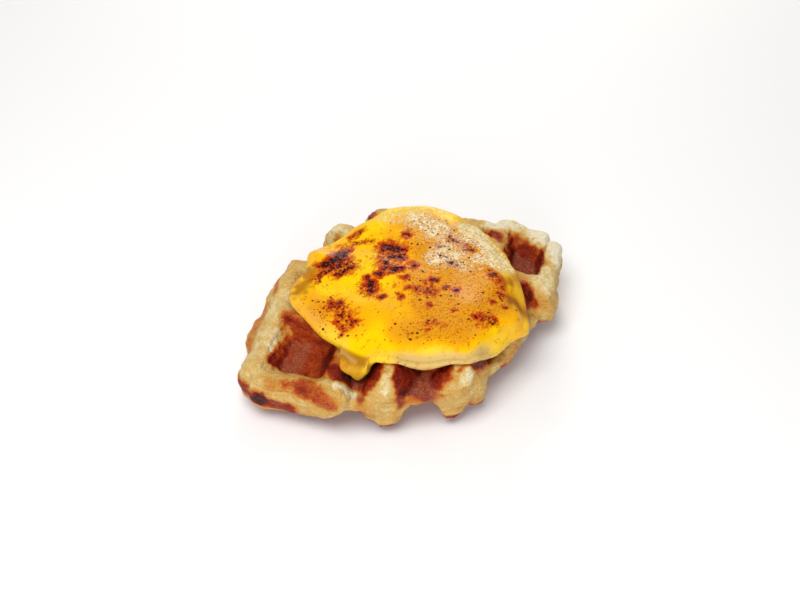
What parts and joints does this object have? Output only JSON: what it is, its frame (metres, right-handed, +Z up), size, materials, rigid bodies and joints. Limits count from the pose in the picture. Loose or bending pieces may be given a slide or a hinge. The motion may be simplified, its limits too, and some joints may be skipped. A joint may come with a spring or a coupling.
{
  "type": "croffle",
  "caption": "Croffle: croissant dough baked in a deep waffle iron, under a melted, torched slice of cheese.",
  "frame": {"origin": "middle of the bottom face of the bounding box, where the croffle rests on the table", "axes": "+Z up through the croffle's upper face, +X along its longest side, +Y towards its back long side"},
  "size_m": [0.1286, 0.0918, 0.0306],
  "materials": {
    "croffle": "baked croissant dough, pale gold on the ribs and dark brown in the cells, with a thin buttery shine",
    "cheese": "melted processed cheese, warm yellow and glossy, torched in dark brown spots"
  },
  "bodies": {
    "root": {"croffle": "croffle", "cheese": "cheese"}
  },
  "joints": []
}
